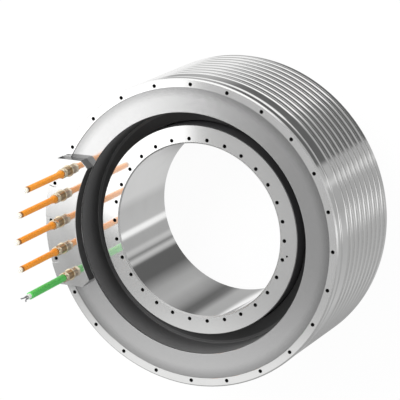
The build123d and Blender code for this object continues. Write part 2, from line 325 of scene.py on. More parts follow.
class Finish:
    """The nodes of one material or world."""

    def __init__(self, tree):
        self.tree = tree
        tree.nodes.clear()

    def node(self, kind, settings=None, sockets=None, out=0):
        """Add a node, make its settings, fill or link its sockets, and give one of its outputs."""
        made = self.tree.nodes.new(kind)
        for name, value in (settings or {}).items():
            if name == "stops":
                self.set_stops(made.color_ramp, value)
            else:
                setattr(made, name, value)
        for name, value in (sockets or {}).items():
            if isinstance(value, Value):
                self.tree.links.new(value.socket, made.inputs[name])
            else:
                made.inputs[name].default_value = value
        return Value(self, made.outputs[out]) if made.outputs else made

    def set_stops(self, ramp, stops):
        """Give a colour ramp its stops, each a place in degrees and a brightness, and close the circle."""
        stops = (*stops, (360, stops[0][1]))
        while len(ramp.elements) < len(stops):
            ramp.elements.new(1.0)
        for element, (place, level) in zip(ramp.elements, stops):
            element.position = place / 360
            element.color = colour_of(grey(level))

    def place(self):
        """The point on the piece, in the motor's own frame."""
        return self.node("ShaderNodeTexCoord", out="Object")

    def parts(self, vector):
        """The three numbers of a vector."""
        outputs = self.node("ShaderNodeSeparateXYZ", sockets={0: vector}).socket.node.outputs
        return [Value(self, output) for output in outputs]

    def radius_and_height(self, vector):
        """How far a point is from the motor's axis, and how high it is."""
        x, y, z = self.parts(vector)
        return (x * x + y * y) ** 0.5, z

    def rays(self):
        """Whether the camera sees a point straight, and whether a polished surface mirrors it."""
        outputs = self.node("ShaderNodeLightPath").socket.node.outputs
        return Value(self, outputs["Is Camera Ray"]), Value(self, outputs["Is Glossy Ray"])

    def noise(self, vector, scale, detail=2.0):
        """Even three-dimensional noise, from 0 to 1."""
        return self.node("ShaderNodeTexNoise", sockets={"Vector": vector, "Scale": scale, "Detail": detail})

    def line_noise(self, value, scale, detail=2.0):
        """Noise along one number, from 0 to 1."""
        return self.node("ShaderNodeTexNoise", {"noise_dimensions": "1D"}, {
            "W": value, "Scale": scale, "Detail": detail})

    def between(self, value, low, high, start=0.0, end=1.0):
        """A smooth step of a value from start to end as it goes from low to high."""
        return self.node("ShaderNodeMapRange", {"interpolation_type": "SMOOTHSTEP"}, {
            "Value": value, "From Min": low, "From Max": high, "To Min": start, "To Max": end})

    def mixed(self, factor, first, second, blend="MIX"):
        """Two colours mixed."""
        return self.node("ShaderNodeMix", {"data_type": "RGBA", "blend_type": blend}, {
            "Factor": factor, 6: colour_of(first), 7: colour_of(second)}, out=2)

    def mottled(self, tone, colour, share, roughness, spread):
        """A tint that wanders to a share of itself as a tone does, and a roughness that wanders with it."""
        return {
            "Base Color": self.mixed(tone, colour, dimmed(colour, share)),
            "Roughness": roughness + (tone - 0.5) * spread,
        }

    def bump(self, height, distance):
        """A bumped normal from a height of 0 to 1 and the distance that 1 stands for."""
        return self.node("ShaderNodeBump", sockets={"Height": height, "Distance": distance, "Strength": 1.0})


def grey(level):
    """A grey of that brightness."""
    return (level, level, level)


def dimmed(colour, share):
    """A colour at a share of its brightness."""
    return [part * share for part in colour]


def colour_of(value):
    """A colour as a socket takes it."""
    if isinstance(value, Value):
        return value
    return (*value, 1.0)


def material(name, paint, *values):
    """A material whose principled shader gets the sockets that paint works out from the values."""
    made = bpy.data.materials.new(name)
    made.use_nodes = True
    finish = Finish(made.node_tree)
    shader = finish.node("ShaderNodeBsdfPrincipled", sockets=paint(finish, *values))
    finish.node("ShaderNodeOutputMaterial", sockets={"Surface": shader})
    return made


# Turned and milled surfaces: share of the metal's colour, roughness, pitch and depth of the tool marks in
# metres, and how metallic.
MACHINED = {
    "turned_jacket": (1.0, 0.08, 0.0004, 0.0000006, 1.0),
    "faced_flange": (1.06, 0.05, 0.0004, 0.0000004, 0.75),
    "flange_chamfer": (1.12, 0.26, 0.0004, 0.000001, 1.0),
    "rotor_steel": (1.0, 0.07, 0.0005, 0.0000006, 1.0),
    "faced_rotor": (1.04, 0.055, 0.0005, 0.0000004, 0.77),
    "bore_chamfer": (0.8, 0.45, 0.0005, 0.000001, 1.0),
    "polished_block": (1.0, 0.09, 0.0007, 0.000001, 0.92),
    # Painted shade: the block's side walls get the aluminium at a quarter of its brightness, for the shade
    # on them.
    "milled_sides": (0.24, 0.30, 0.0009, 0.000004, 1.0),
}


def machined(name, metal):
    """The material of a turned or milled surface in the table."""
    share, *marks = MACHINED[name]
    return material(name, turned_metal, dimmed(metal, share), *marks)


def turned_metal(finish, colour, roughness, mark_pitch, mark_depth, metallic):
    """Bright turned metal: fine marks that run round the axis, and faint smudges."""
    place = finish.place()
    radius, height = finish.radius_and_height(place)
    marks = finish.line_noise(radius + height, scale=1.0 / mark_pitch, detail=1.0)
    smudge = finish.noise(place, scale=22.0, detail=3.0)
    return {
        "Base Color": finish.mixed(finish.between(smudge, 0.35, 0.7), colour, dimmed(colour, 0.97)),
        "Metallic": metallic,
        "Roughness": roughness + (smudge - 0.5) * (roughness * 0.3),
        "Normal": finish.bump(marks, mark_depth),
    }


def shaded_thread(finish, colour):
    """The dark thread of a tapped hole, its near-black colour painted shade inside the hole."""
    tone = finish.noise(finish.place(), scale=700.0)
    return {**finish.mottled(tone, colour, share=1.8, roughness=0.5, spread=0.2), "Metallic": 0.4}


def satin_metal(finish, colour):
    """Finely blasted metal, with painted shade that darkens it towards its outer seam."""
    seam_inside = RING_RADIUS - 0.018
    seam_outside = RING_RADIUS + 0.002
    place = finish.place()
    radius, _ = finish.radius_and_height(place)
    grain = finish.noise(place, scale=2600.0)
    cloud = finish.noise(place, scale=12.0)
    # Painted shade: the colour darkens to 0.62 of itself towards the outer seam, where the ring meets the
    # rim.
    seam = finish.between(radius, seam_inside, seam_outside)
    seam_shaded = finish.mixed(seam, colour, dimmed(colour, 0.62))
    return {
        "Base Color": finish.mixed(cloud * 0.06, seam_shaded, grey(0.3)),
        "Metallic": 0.85,
        "Roughness": 0.09 + (cloud - 0.5) * 0.03,
        "Normal": finish.bump(grain, 0.00001),
    }


def cast_resin(finish, colour):
    """Matt black resin with a faint grain and slow waves, painted shade that darkens it towards the foot of
    its wall and on the inner part of its ledge, and a thin painted highlight inside its outer ledge.
    """
    ledge = POTTING_BACK + 0.004
    # Painted highlight: a thin pale band on the ledge where the cast edge catches light; the shape has no
    # bead there.
    bead_highlight_inside = (0.1743, 0.1749)
    bead_highlight_outside = (0.1750, 0.1756)
    ledge_edge = (0.1752, 0.1765)
    place = finish.place()
    radius, height = finish.radius_and_height(place)
    grain = finish.noise(place, scale=1400.0, detail=3.0)
    wave = finish.noise(place, scale=25.0)
    # Painted shade: the resin darkens towards the foot of the wall and on the ledge inside this edge, where
    # shade falls deep in the opening.
    outer = finish.between(radius, *ledge_edge)
    light = finish.between(height, ledge, RING_BACK, 0.58, 1.0) * (0.45 + outer * 0.55)
    # Painted highlight: the thin band gets 1.15 times the resin's colour.
    bead_highlight = finish.between(radius, *bead_highlight_inside) * finish.between(radius, *bead_highlight_outside, 1.0, 0.0)
    shade = finish.mixed(light, grey(0.0), colour)
    shade = finish.mixed(bead_highlight, shade, dimmed(colour, 1.15))
    return {
        "Base Color": finish.mixed(wave * 0.3, shade, dimmed(colour, 1.3)),
        "Roughness": 0.74 - outer * 0.32 + (wave - 0.5) * 0.2,
        "Normal": finish.bump(grain * 0.3 + wave, 0.0002),
    }


def cable_skin(finish, colour, darker, roughness=0.38):
    """Extruded cable jacket: smooth, with faint long marks and a little dust."""
    place = finish.place()
    stretched = finish.node("ShaderNodeVectorMath", {"operation": "MULTIPLY"}, {
        0: place, 1: (1.0, 1.0, 0.06)})
    streak = finish.noise(stretched, scale=900.0)
    cloud = finish.noise(place, scale=160.0, detail=3.0)
    mask = finish.between(streak * 0.6 + cloud * 0.4, 0.35, 0.7)
    return {
        "Base Color": finish.mixed(mask, colour, darker),
        "Roughness": roughness + (cloud - 0.5) * 0.15,
        "Normal": finish.bump(streak, 0.00003),
    }


def plated_metal(finish, colour):
    """Nickel plated metal, turned and a little uneven in tone."""
    place = finish.place()
    _, height = finish.radius_and_height(place)
    marks = finish.line_noise(height, scale=5200.0)
    tone = finish.noise(place, scale=180.0)
    return {
        **finish.mottled(tone, colour, share=0.88, roughness=0.16, spread=0.1),
        "Metallic": 1.0,
        "Normal": finish.bump(marks, 0.000004),
    }


def plain_plastic(finish, colour, roughness=0.5):
    """Plain insulation with a slight grain."""
    tone = finish.noise(finish.place(), scale=420.0, detail=3.0)
    return {
        **finish.mottled(tone, colour, share=0.88, roughness=roughness, spread=0.15),
        "Normal": finish.bump(tone, 0.00003),
    }


def stacked_sheets(finish, colour):
    """The edges of stacked steel sheets, one line for each sheet."""
    sheet = 0.0005
    place = finish.place()
    _, height = finish.radius_and_height(place)
    lines = (height * (2 * math.pi / sheet)).sine()
    tone = finish.noise(place, scale=90.0)
    return {
        **finish.mottled(tone, colour, share=0.7, roughness=0.38, spread=0.1),
        "Metallic": 1.0,
        "Normal": finish.bump(lines, 0.00002),
    }


def wound_wire(finish, colour):
    """Enamelled wire laid turn beside turn."""
    wire = 0.0011
    place = finish.place()
    radius, _ = finish.radius_and_height(place)
    turns = (radius * (2 * math.pi / wire)).sine()
    tone = finish.noise(place, scale=240.0)
    return {
        **finish.mottled(tone, colour, share=0.65, roughness=0.3, spread=0.1),
        "Metallic": 0.6,
        "Normal": finish.bump(turns, 0.0003),
    }


def ride_in_place(piece, body, slot, *nodes):
    """Set a piece on its body, in place of CAD nodes; its slot is not used."""
    bpy.context.scene.collection.objects.link(piece)
    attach(piece, body)
    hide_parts(*nodes)
    return piece


def new_piece(name, bm, finishes, body, slot, *nodes):
    """Turn mesh data into a smooth-shaded piece that rides on a body and stands for CAD nodes."""
    bmesh.ops.remove_doubles(bm, verts=bm.verts, dist=MERGE_DISTANCE)
    bmesh.ops.recalc_face_normals(bm, faces=bm.faces)
    mesh = bpy.data.meshes.new(name)
    bm.to_mesh(mesh)
    bm.free()
    mesh.shade_smooth()
    mesh.set_sharp_from_angle(angle=SHARP_ANGLE)
    for finish in finishes:
        mesh.materials.append(finish)
    piece = bpy.data.objects.new(name, mesh)
    piece.modifiers.new("weighted_normals", "WEIGHTED_NORMAL").keep_sharp = True
    return ride_in_place(piece, body, slot, *nodes)


def tube(name, lines, radius, finish, slot, node, steps=6, roundness=8):
    """A round bar along one or more smooth lines, riding on the stator in place of its CAD node."""
    curve = bpy.data.curves.new(name, "CURVE")
    curve.dimensions = "3D"
    curve.resolution_u = steps
    curve.bevel_depth = radius
    curve.bevel_resolution = roundness
    curve.use_fill_caps = True
    curve.materials.append(finish)
    for line in lines:
        spline = curve.splines.new("NURBS")
        spline.points.add(len(line) - 1)
        for point, place in zip(spline.points, line):
            point.co = (*place, 1.0)
        spline.order_u = 3
        spline.use_endpoint_u = True
    return ride_in_place(bpy.data.objects.new(name, curve), "stator", slot, node)


def circle(bm, radius, level, count, centre=AXIS, flats=0):
    """A ring of points round an upright axis; with flats, the radius is that of a polygon's flats."""
    points = []
    for step in range(count):
        turned = 2 * math.pi * step / count
        reach = radius
        if flats:
            half = math.pi / flats
            reach = radius / math.cos((turned + half) % (2 * half) - half)
        points.append(bm.verts.new((
            centre[0] + reach * math.cos(turned), centre[1] + reach * math.sin(turned), level)))
    return points


def strip(bm, first, second, closed=True):
    """Faces between two lines of points."""
    for step in range(len(first) if closed else len(first) - 1):
        beside = (step + 1) % len(first)
        bm.faces.new((first[step], first[beside], second[beside], second[step]))


def turn(bm, profile, count, centre=AXIS, caps=None, open_after=()):
    """Turn a profile of (radius, level) points round an upright axis, and give its rings of points.

    Without caps the profile is closed. With them it is open, and the rings that they name are filled.
    """
    rings = [circle(bm, point[0], point[1], count, centre, *point[2:]) for point in profile]
    for index, ring in enumerate(rings):
        last = index == len(rings) - 1
        if index in open_after or (last and caps is not None):
            continue
        strip(bm, ring, rings[(index + 1) % len(rings)])
    for index in caps or ():
        fill_face(bm, rings[index])
    return rings


def fill_face(bm, *loops):
    """A flat face inside the first loop of points and outside the others."""
    points = [point for loop in loops for point in loop]
    for corners in tessellate_polygon([[point.co for point in loop] for loop in loops]):
        bm.faces.new([points[corner] for corner in corners])


def arc(centre, radius, start, end, steps, rise=None):
    """Points of an arc, from one angle to another in degrees; rise makes it an ellipse's."""
    rise = rise or radius
    points = []
    for step in range(steps + 1):
        turned = math.radians(start + (end - start) * step / steps)
        points.append((centre[0] + radius * math.cos(turned), centre[1] + rise * math.sin(turned)))
    return points


@contextmanager
def finish_number(bm, number):
    """Give the faces that are made inside the with block the finish of that number."""
    before = set(bm.faces)
    yield
    for face in bm.faces:
        if face not in before:
            face.material_index = number


def shade_rings(bm, rings, number):
    """Give the faces between rings of points the finish of that number."""
    points = {point for ring in rings for point in ring}
    for face in bm.faces:
        if points.issuperset(face.verts):
            face.material_index = number


def on_circle(radius, turned):
    """A point of a circle round the motor's axis."""
    return (radius * math.cos(turned), radius * math.sin(turned))


def tapped_hole(bm, centre, level, depth, countersink):
    """A threaded blind hole that opens upwards; gives the ring at its mouth."""
    pitch = 0.001
    thread_depth = 0.0004
    point_radius = TAP_RADIUS * 0.02
    point_depth = TAP_RADIUS * 0.6
    profile = [(TAP_RADIUS + countersink, level), (TAP_RADIUS, level - countersink)]
    for number in range(int(depth / pitch) - 1):
        top = level - countersink - number * pitch
        profile.append((TAP_RADIUS + thread_depth, top - pitch / 2))
        profile.append((TAP_RADIUS, top - pitch))
    profile.append((TAP_RADIUS, level - depth))
    profile.append((point_radius, level - depth - point_depth))
    with finish_number(bm, 1):
        rings = turn(bm, profile, HOLE_STEPS, centre, caps=[-1])
    return rings[0]


def tapped_holes(bm, count, radius, level, depth, countersink):
    """A full circle of tapped holes; gives the rings at their mouths."""
    mouths = []
    for number in range(count):
        place = on_circle(radius, 2 * math.pi * number / count)
        mouths.append(tapped_hole(bm, place, level, depth, countersink))
    return mouths


class MOTOR_OT_jacket(bpy.types.Operator):
    """Turn the jacket: screw flange, relief, seal land and round-bottomed coolant grooves"""

    bl_idname = "motor.jacket"
    bl_label = "Jacket"

    def execute(self, context):
        sizes = context.scene.motor_jacket
        colours = context.scene.motor_colours
        bm = bmesh.new()
        edge = sizes.edge
        lip = 0.0003
        seam = 0.0002
        mouth_chamfer = 0.0006
        rear_chamfer = 0.001
        relief_front = FRONT - sizes.flange_thickness
        relief_rear = LAND_REAR + LAND_WIDTH
        relief_middle = (LAND_RADIUS - lip, (relief_front + relief_rear) / 2)
        relief_half = (relief_front - relief_rear) / 2
        outside = [
            (RING_RADIUS + seam, FRONT),
            (FLANGE_RADIUS - sizes.flange_chamfer, FRONT),
            (FLANGE_RADIUS, FRONT - sizes.flange_chamfer),
            (FLANGE_RADIUS, relief_front + edge),
            (FLANGE_RADIUS - edge, relief_front),
            *arc(relief_middle, sizes.relief_depth - lip, 90, 270, 8, relief_half - lip),
            (LAND_RADIUS, relief_rear - lip),
        ]
        crest = LAND_RADIUS - edge
        half = sizes.groove_width / 2
        for index in range(sizes.groove_count):
            top = LAND_REAR - index * sizes.groove_pitch
            outside += arc((crest, top + edge), edge, 0, -90, 3)
            outside += arc((crest, top - half), half, 90, 270, 16)[1:-1]
            outside += arc((crest, top - 2 * half - edge), edge, 90, 0, 3)
        inside = [
            (LAND_RADIUS, rear_chamfer),
            (LAND_RADIUS - rear_chamfer, 0.0),
            (POTTING_RADIUS + mouth_chamfer, 0.0),
            (POTTING_RADIUS, mouth_chamfer),
            (POTTING_RADIUS, RING_BACK),
            (RING_RADIUS, RING_BACK),
            (RING_RADIUS, FRONT - seam),
        ]
        rings = turn(bm, outside + inside, sizes.around, open_after=(0,))
        shade_rings(bm, rings[1:3], 3)
        mouths = tapped_holes(bm, STATOR_SCREWS, STATOR_CIRCLE, FRONT, sizes.tap_depth, sizes.countersink)
        with finish_number(bm, 2):
            fill_face(bm, rings[1], rings[0], *mouths)
        finishes = [
            machined("turned_jacket", colours.aluminium),
            material("jacket_thread", shaded_thread, colours.thread),
            machined("faced_flange", colours.aluminium),
            machined("flange_chamfer", colours.aluminium),
        ]
        new_piece("jacket_turned", bm, finishes, "stator", "turned_jacket", "jacket")
        return {"FINISHED"}


class MOTOR_OT_end_ring(bpy.types.Operator):
    """Turn the satin end ring that is let into the flange"""

    bl_idname = "motor.end_ring"
    bl_label = "End ring"

    def execute(self, context):
        opening = context.scene.motor_potting.opening
        edge = 0.0003
        bm = bmesh.new()
        turn(bm, [
            (RING_RADIUS, RING_BACK),
            (RING_RADIUS, RING_FACE - edge),
            (RING_RADIUS - edge, RING_FACE),
            (opening + edge, RING_FACE),
            (opening, RING_FACE - edge),
            (opening, RING_BACK),
        ], context.scene.motor_jacket.around)
        finish = material("satin_ring", satin_metal, context.scene.motor_colours.satin)
        new_piece("end_ring_satin", bm, [finish], "stator", "satin_ring", "front_end_ring")
        return {"FINISHED"}


class MOTOR_OT_potting(bpy.types.Operator):
    """Cast the black resin over the end turns, front and rear"""

    bl_idname = "motor.potting"
    bl_label = "Potting"

    def execute(self, context):
        sizes = context.scene.motor_potting
        around = context.scene.motor_jacket.around
        finish = material("potting", cast_resin, context.scene.motor_colours.resin)
        foot = sizes.opening - sizes.draft
        ledge = POTTING_BACK + sizes.ledge
        lip = ROTOR_RADIUS + sizes.gap
        fillet = sizes.fillet
        round_lip = fillet / 2
        bm = bmesh.new()
        turn(bm, [
            (POTTING_RADIUS, POTTING_BACK),
            (POTTING_RADIUS, RING_BACK),
            (sizes.opening, RING_BACK),
            *arc((foot - fillet, ledge + fillet), fillet, 0, -90, 5),
            *arc((lip + round_lip, ledge - round_lip), round_lip, 90, 180, 4),
            (lip, POTTING_BACK),
        ], around)
        new_piece("potting_front", bm, [finish], "stator", "potting", "front_potting")
        low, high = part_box("rear_potting")
        shrunk = fillet * 0.3
        bm = bmesh.new()
        turn(bm, [
            (high.x, low.z),
            (high.x, high.z),
            (lip, high.z),
            *arc((lip + round_lip, low.z + round_lip), round_lip, 180, 270, 4),
            *arc((high.x - fillet, low.z - shrunk), fillet, 120, 60, 4),
        ], around)
        new_piece("potting_rear", bm, [finish], "stator", "potting", "rear_potting")
        return {"FINISHED"}


class MOTOR_OT_rotor(bpy.types.Operator):
    """Turn the rotor carrier with its tapped holes and the flats under its magnets"""

    bl_idname = "motor.rotor"
    bl_label = "Rotor carrier"

    def execute(self, context):
        sizes = context.scene.motor_rotor
        colours = context.scene.motor_colours
        rear_chamfer = 0.001
        pin_edge = 0.0002
        bm = bmesh.new()
        rings = turn(bm, [
            (BORE_RADIUS + sizes.bore_chamfer, ROTOR_FRONT),
            (ROTOR_RADIUS - sizes.rim_chamfer, ROTOR_FRONT),
            (ROTOR_RADIUS, ROTOR_FRONT - sizes.rim_chamfer),
            (ROTOR_RADIUS, LIP_BACK),
            (sizes.seat, LIP_BACK, sizes.poles),
            (sizes.seat, ROTOR_REAR, sizes.poles),
            (BORE_RADIUS + rear_chamfer, ROTOR_REAR),
            (BORE_RADIUS, ROTOR_REAR + rear_chamfer),
            (BORE_RADIUS, ROTOR_FRONT - sizes.bore_chamfer),
        ], sizes.around, open_after=(0,))
        shade_rings(bm, [rings[-1], rings[0]], 3)
        shade_rings(bm, rings[2:4], 4)
        countersink = context.scene.motor_jacket.countersink
        mouths = tapped_holes(bm, ROTOR_SCREWS, ROTOR_CIRCLE, ROTOR_FRONT, sizes.tap_depth, countersink)
        with finish_number(bm, 1):
            pin_rings = turn(bm, [
                (sizes.pin_radius + pin_edge, ROTOR_FRONT),
                (sizes.pin_radius, ROTOR_FRONT - pin_edge),
                (sizes.pin_radius, ROTOR_FRONT - sizes.pin_depth),
            ], PIN_STEPS, on_circle(sizes.pin_circle, sizes.pin_angle), caps=[-1])
        with finish_number(bm, 2):
            fill_face(bm, rings[1], rings[0], *mouths, pin_rings[0])
        finishes = [
            machined("rotor_steel", colours.steel),
            material("rotor_thread", shaded_thread, colours.thread),
            machined("faced_rotor", colours.steel),
            machined("bore_chamfer", colours.steel),
            material("rotor_side", plain_plastic, colours.side, 0.4),
        ]
        new_piece("rotor_turned", bm, finishes, "rotor", "rotor_steel", "rotor_carrier")
        return {"FINISHED"}


class MOTOR_OT_cable_block(bpy.types.Operator):
    """Mill the cable block, with its three spot-faced screw holes and the earth screw's hole"""

    bl_idname = "motor.cable_block"
    bl_label = "Cable block"

    def execute(self, context):
        sizes = context.scene.motor_block
        colours = context.scene.motor_colours
        opening = context.scene.motor_potting.opening
        hole_edge = 0.0003
        bm = bmesh.new()
        near, far, inner, outer, notched, seats = self.plan(sizes, opening)
        top_line = near + notched + far + inner
        low_line = near + outer + far + inner
        spot_level = BLOCK_TOP - sizes.spot_depth

        top = line_of(bm, inset_line(top_line, sizes.edge), BLOCK_TOP)
        shoulder = line_of(bm, top_line, BLOCK_TOP - sizes.edge)
        fill_face(bm, top)
        strip(bm, top, shoulder)
        with finish_number(bm, 2):
            strip(bm, shoulder, line_of(bm, top_line, spot_level))
        mouths = []
        for rim, seat, middle in seats:
            with finish_number(bm, 1):
                hole = turn(bm, [
                    (TAP_RADIUS + hole_edge, spot_level),
                    (TAP_RADIUS, spot_level - hole_edge),
                    (TAP_RADIUS, FRONT),
                ], HOLE_STEPS, middle, caps=())
            fill_face(bm, line_of(bm, rim + seat[::-1], spot_level), hole[0])
            mouths.append(hole[-1])
        self.walls(bm, sizes, low_line, spot_level, opening)

        ring_end = math.degrees(math.asin(BLOCK_HALF_WIDTH / RING_RADIUS))
        ring_line = [near[1], *arc(AXIS, RING_RADIUS, -ring_end, ring_end, 32)[1:-1], far[0]]
        strip(bm, line_of(bm, ring_line, FRONT), line_of(bm, ring_line, RING_FACE), closed=False)
        fill_face(bm, line_of(bm, outer + ring_line[::-1], FRONT), *mouths)
        fill_face(bm, line_of(bm, [near[0], *ring_line, far[1], *inner], RING_FACE))
        finishes = [
            machined("polished_block", colours.aluminium),
            material("block_thread", shaded_thread, colours.thread),
            # Painted shade: the side walls' finish is the aluminium darkened to a quarter.
            machined("milled_sides", colours.aluminium),
            material("blackened_inside", plain_plastic, colours.inside, 0.45),
        ]
        new_piece("block_milled", bm, finishes, "stator", "turned_jacket", "cable_block")
        return {"FINISHED"}

    def plan(self, sizes, opening):
        """The block's outline from above: both ends, the inner and outer lines, and the screw seats.

        The notched line is the outer one with the seats cut in. Each seat is its part of the outer line,
        its own round line and its middle.
        """
        corner_y = BLOCK_HALF_WIDTH - sizes.corner
        corner_x = math.sqrt(opening ** 2 - corner_y ** 2) + sizes.corner
        ring_x = math.sqrt(RING_RADIUS ** 2 - BLOCK_HALF_WIDTH ** 2)
        near = [(corner_x, -BLOCK_HALF_WIDTH), (ring_x, -BLOCK_HALF_WIDTH)]
        far = [(ring_x, BLOCK_HALF_WIDTH), (corner_x, BLOCK_HALF_WIDTH)]
        inner_end = math.degrees(math.asin(corner_y / opening))
        inner = arc(AXIS, opening, inner_end, -inner_end, 48)
        outer_end = math.degrees(math.asin(BLOCK_HALF_WIDTH / FLANGE_RADIUS))
        seat_half = math.degrees(math.asin(sizes.spot_radius / FLANGE_RADIUS))
        outer = []
        notched = []
        seats = []
        reached = -outer_end
        for screw in (-1, 0, 1):
            facing = 360 * screw / STATOR_SCREWS
            run = arc(AXIS, FLANGE_RADIUS, reached, facing - seat_half, 14)
            reached = facing + seat_half
            rim = arc(AXIS, FLANGE_RADIUS, facing - seat_half, reached, 6)
            middle = on_circle(STATOR_CIRCLE, math.radians(facing))
            seat = arc(middle, sizes.spot_radius, facing - 90, facing - 270, 16)
            outer += run[:-1] + rim[:-1]
            notched += run + seat
            seats.append((rim, seat, middle))
        run = arc(AXIS, FLANGE_RADIUS, reached, outer_end, 14)
        return near, far, inner, outer + run, notched + run, seats

    def walls(self, bm, sizes, low_line, top, opening):
        """The block's walls, down to the flange or to the ring that is let into it."""
        upper = line_of(bm, low_line, top)
        levels = [FRONT if math.hypot(x, y) > RING_RADIUS - NEAR else RING_FACE for x, y in low_line]
        earth = Vector((FLANGE_RADIUS - sizes.side_edge, -BLOCK_HALF_WIDTH, BLOCK_TOP - sizes.side_drop))
        for step, start in enumerate(low_line):
            beside = (step + 1) % len(low_line)
            end = low_line[beside]
            low = min(levels[step], levels[beside])
            corners = [upper[step], upper[beside], *line_of(bm, [end, start], low)]
            on_near_end = max(start[1], end[1]) < NEAR - BLOCK_HALF_WIDTH
            if on_near_end and min(start[0], end[0]) < earth.x < max(start[0], end[0]):
                mouth = self.earth_hole(bm, sizes, earth)
                with finish_number(bm, 2):
                    fill_face(bm, corners, mouth)
            else:
                inside = max(math.hypot(*start), math.hypot(*end)) < opening + NEAR
                bm.faces.new(corners).material_index = 3 if inside else 2

    def earth_hole(self, bm, sizes, middle):
        """The tapped hole of the earth screw, which opens towards -Y; gives the ring at its mouth."""
        countersink = 0.0004
        point_radius = 0.0002
        point_depth = 0.0015
        profile = (
            (TAP_RADIUS + countersink, 0.0),
            (TAP_RADIUS, countersink),
            (TAP_RADIUS, sizes.side_depth),
            (point_radius, sizes.side_depth + point_depth),
        )
        rings = []
        with finish_number(bm, 1):
            for radius, depth in profile:
                points = arc((middle.x, middle.z), radius, 0, 360, HOLE_STEPS)[:-1]
                rings.append([bm.verts.new((x, middle.y + depth, z)) for x, z in points])
            for first, second in zip(rings, rings[1:]):
                strip(bm, first, second)
            fill_face(bm, rings[-1])
        return rings[0]


def line_of(bm, points, level):
    """A line of points on a level."""
    return [bm.verts.new((x, y, level)) for x, y in points]


def inset_line(points, distance):
    """A closed line of points, moved to its inner side by a distance."""
    area = sum(a[0] * b[1] - b[0] * a[1] for a, b in zip(points, points[1:] + points[:1]))
    side = 1 if area > 0 else -1
    sharpest = 0.4
    moved = []
    for index, point in enumerate(points):
        before = Vector(point) - Vector(points[index - 1])
        after = Vector(points[(index + 1) % len(points)]) - Vector(point)
        if before.length < SAME_POINT:
            before = after
        if after.length < SAME_POINT:
            after = before
        normal_before = Vector((-before.y, before.x)).normalized() * side
        normal_after = Vector((-after.y, after.x)).normalized() * side
        middle = (normal_before + normal_after).normalized()
        reach = distance / max(middle.dot(normal_after), sharpest)
        moved.append(tuple(Vector(point) + middle * reach))
    return moved


def cable_place(sizes, number):
    """Where a cable stands."""
    return on_circle(sizes.circle, number * sizes.step)


class MOTOR_OT_glands(bpy.types.Operator):
    """Turn the five cable glands"""

    bl_idname = "motor.glands"
    bl_label = "Glands"

    def execute(self, context):
        sizes = context.scene.motor_glands
        cables = context.scene.motor_cables
        colours = context.scene.motor_colours
        play = 0.0002
        bm = bmesh.new()
        for number in (*POWER_CABLES, SENSOR_CABLE):
            throat = sizes.throat
            if number == SENSOR_CABLE:
                throat = cables.sensor_diameter / 2 + play
            profile, barrel = self.profile(sizes, throat)
            rings = turn(bm, profile, GLAND_STEPS, cable_place(cables, number))
            shade_rings(bm, rings[barrel], 1)
        finishes = [
            material("gland_nickel", plated_metal, colours.nickel),
            material("gland_barrel", plated_metal, colours.brass),
        ]
        new_piece("glands_turned", bm, finishes, "stator", "gland_nickel", "cable_glands")
        return {"FINISHED"}

    def profile(self, sizes, throat):
        """A gland's outline, and which of its points are the barrel's."""
        base = BLOCK_TOP
        collar_top = base + sizes.collar_height
        nut_base = base + 0.0145
        nut_top = GLAND_TOP - 0.0026
        crown = 0.0018
        crown_middle = (0.0056, GLAND_TOP - 0.0022)
        groove_starts = (0.0045, 0.0075, 0.0105)
        groove_width = 0.0013
        side = 0.0003
        edge = 0.0002
        foot = [
            (throat, base),
            (sizes.collar - edge, base),
            (sizes.collar, base + edge),
            (sizes.collar, collar_top - 0.0005),
            (sizes.collar - 0.0003, collar_top - 0.0001),
        ]
        barrel = [(sizes.barrel, collar_top)]
        for start in groove_starts:
            low = base + start
            high = low + groove_width
            barrel += [
                (sizes.barrel, low),
                (sizes.groove, low + side),
                (sizes.groove, high - side),
                (sizes.barrel, high),
            ]
        barrel.append((sizes.barrel, base + sizes.barrel_height))
        head = [
            (sizes.barrel - 0.0004, nut_base - 0.0005, 6),
            (sizes.nut, nut_base, 6),
            (sizes.nut, nut_top, 6),
            *arc(crown_middle, crown, 20, 90, 4),
            (throat + 0.0006, GLAND_TOP - 0.0005),
            (throat, GLAND_TOP - 0.0012),
        ]
        return foot + barrel + head, slice(len(foot), len(foot) + len(barrel))


def standing_cable(name, place, start, sunk, end, diameter, finish, slot, node):
    """A stiff cable that stands straight up to its cut end, its foot sunk a little into what holds it."""
    route = [
        (*place, start - sunk),
        (*place, (start + end) / 2),
        (*place, end),
    ]
    cable = tube(name, [route], diameter / 2, finish, slot, node)


